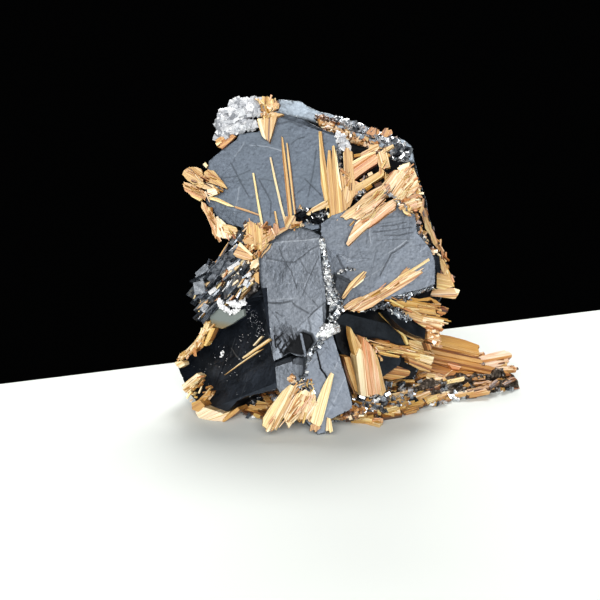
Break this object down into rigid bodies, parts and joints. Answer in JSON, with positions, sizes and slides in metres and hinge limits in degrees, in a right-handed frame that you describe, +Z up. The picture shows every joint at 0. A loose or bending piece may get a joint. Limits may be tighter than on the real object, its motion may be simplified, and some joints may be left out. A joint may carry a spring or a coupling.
{
  "type": "rutile crystal cluster",
  "caption": "Mineral specimen: upright steel-grey hematite plates overgrown by radiating sprays of golden rutile blades.",
  "frame": {"origin": "centre of the footprint's bounding box, on the ground", "axes": "+Z up, -Y towards the viewer of the picture, +X to the right"},
  "size_m": [0.0502, 0.0386, 0.0441],
  "materials": {
    "hematite": "satin, metallic lustre",
    "rutile": "silky, striated",
    "white_crust": "sugary",
    "druse": "sparkling"
  },
  "bodies": {
    "root": {"centre_hematite_plate": "hematite", "upper_hematite_plate": "hematite", "right_hematite_plate": "hematite", "foot_hematite_block": "hematite", "left_hematite_plate": "hematite", "right_hematite_wedge": "hematite", "left_hematite_ledges": "hematite", "back_hematite_plate": "hematite", "base_hematite_plate": "hematite", "rear_right_hematite_plate": "hematite", "rear_left_hematite_plate": "hematite", "top_rutile_cap": "rutile", "upper_left_rutile_spray": "rutile", "orange_rutile_patch": "rutile", "upper_rutile_needles": "rutile", "junction_rutile_laths": "rutile", "upper_right_rutile_spray": "rutile", "back_rutile_tips": "rutile", "right_edge_rutile": "rutile", "right_rutile_spray": "rutile", "right_middle_rutile_laths": "rutile", "lower_right_rutile_laths": "rutile", "vertical_rutile_fan": "rutile", "foot_rutile_sheaf": "rutile", "lower_left_rutile_laths": "rutile", "lower_left_rutile_block": "rutile", "left_rutile_needles": "rutile", "right_base_rutile_sheaf": "rutile", "front_rutile_band": "rutile", "rear_rutile_spray": "rutile", "white_crystal_crust": "white_crust", "silver_druse_seam": "druse", "white_druse_patch": "white_crust", "dark_crystal_nest": "druse"}
  },
  "joints": []
}
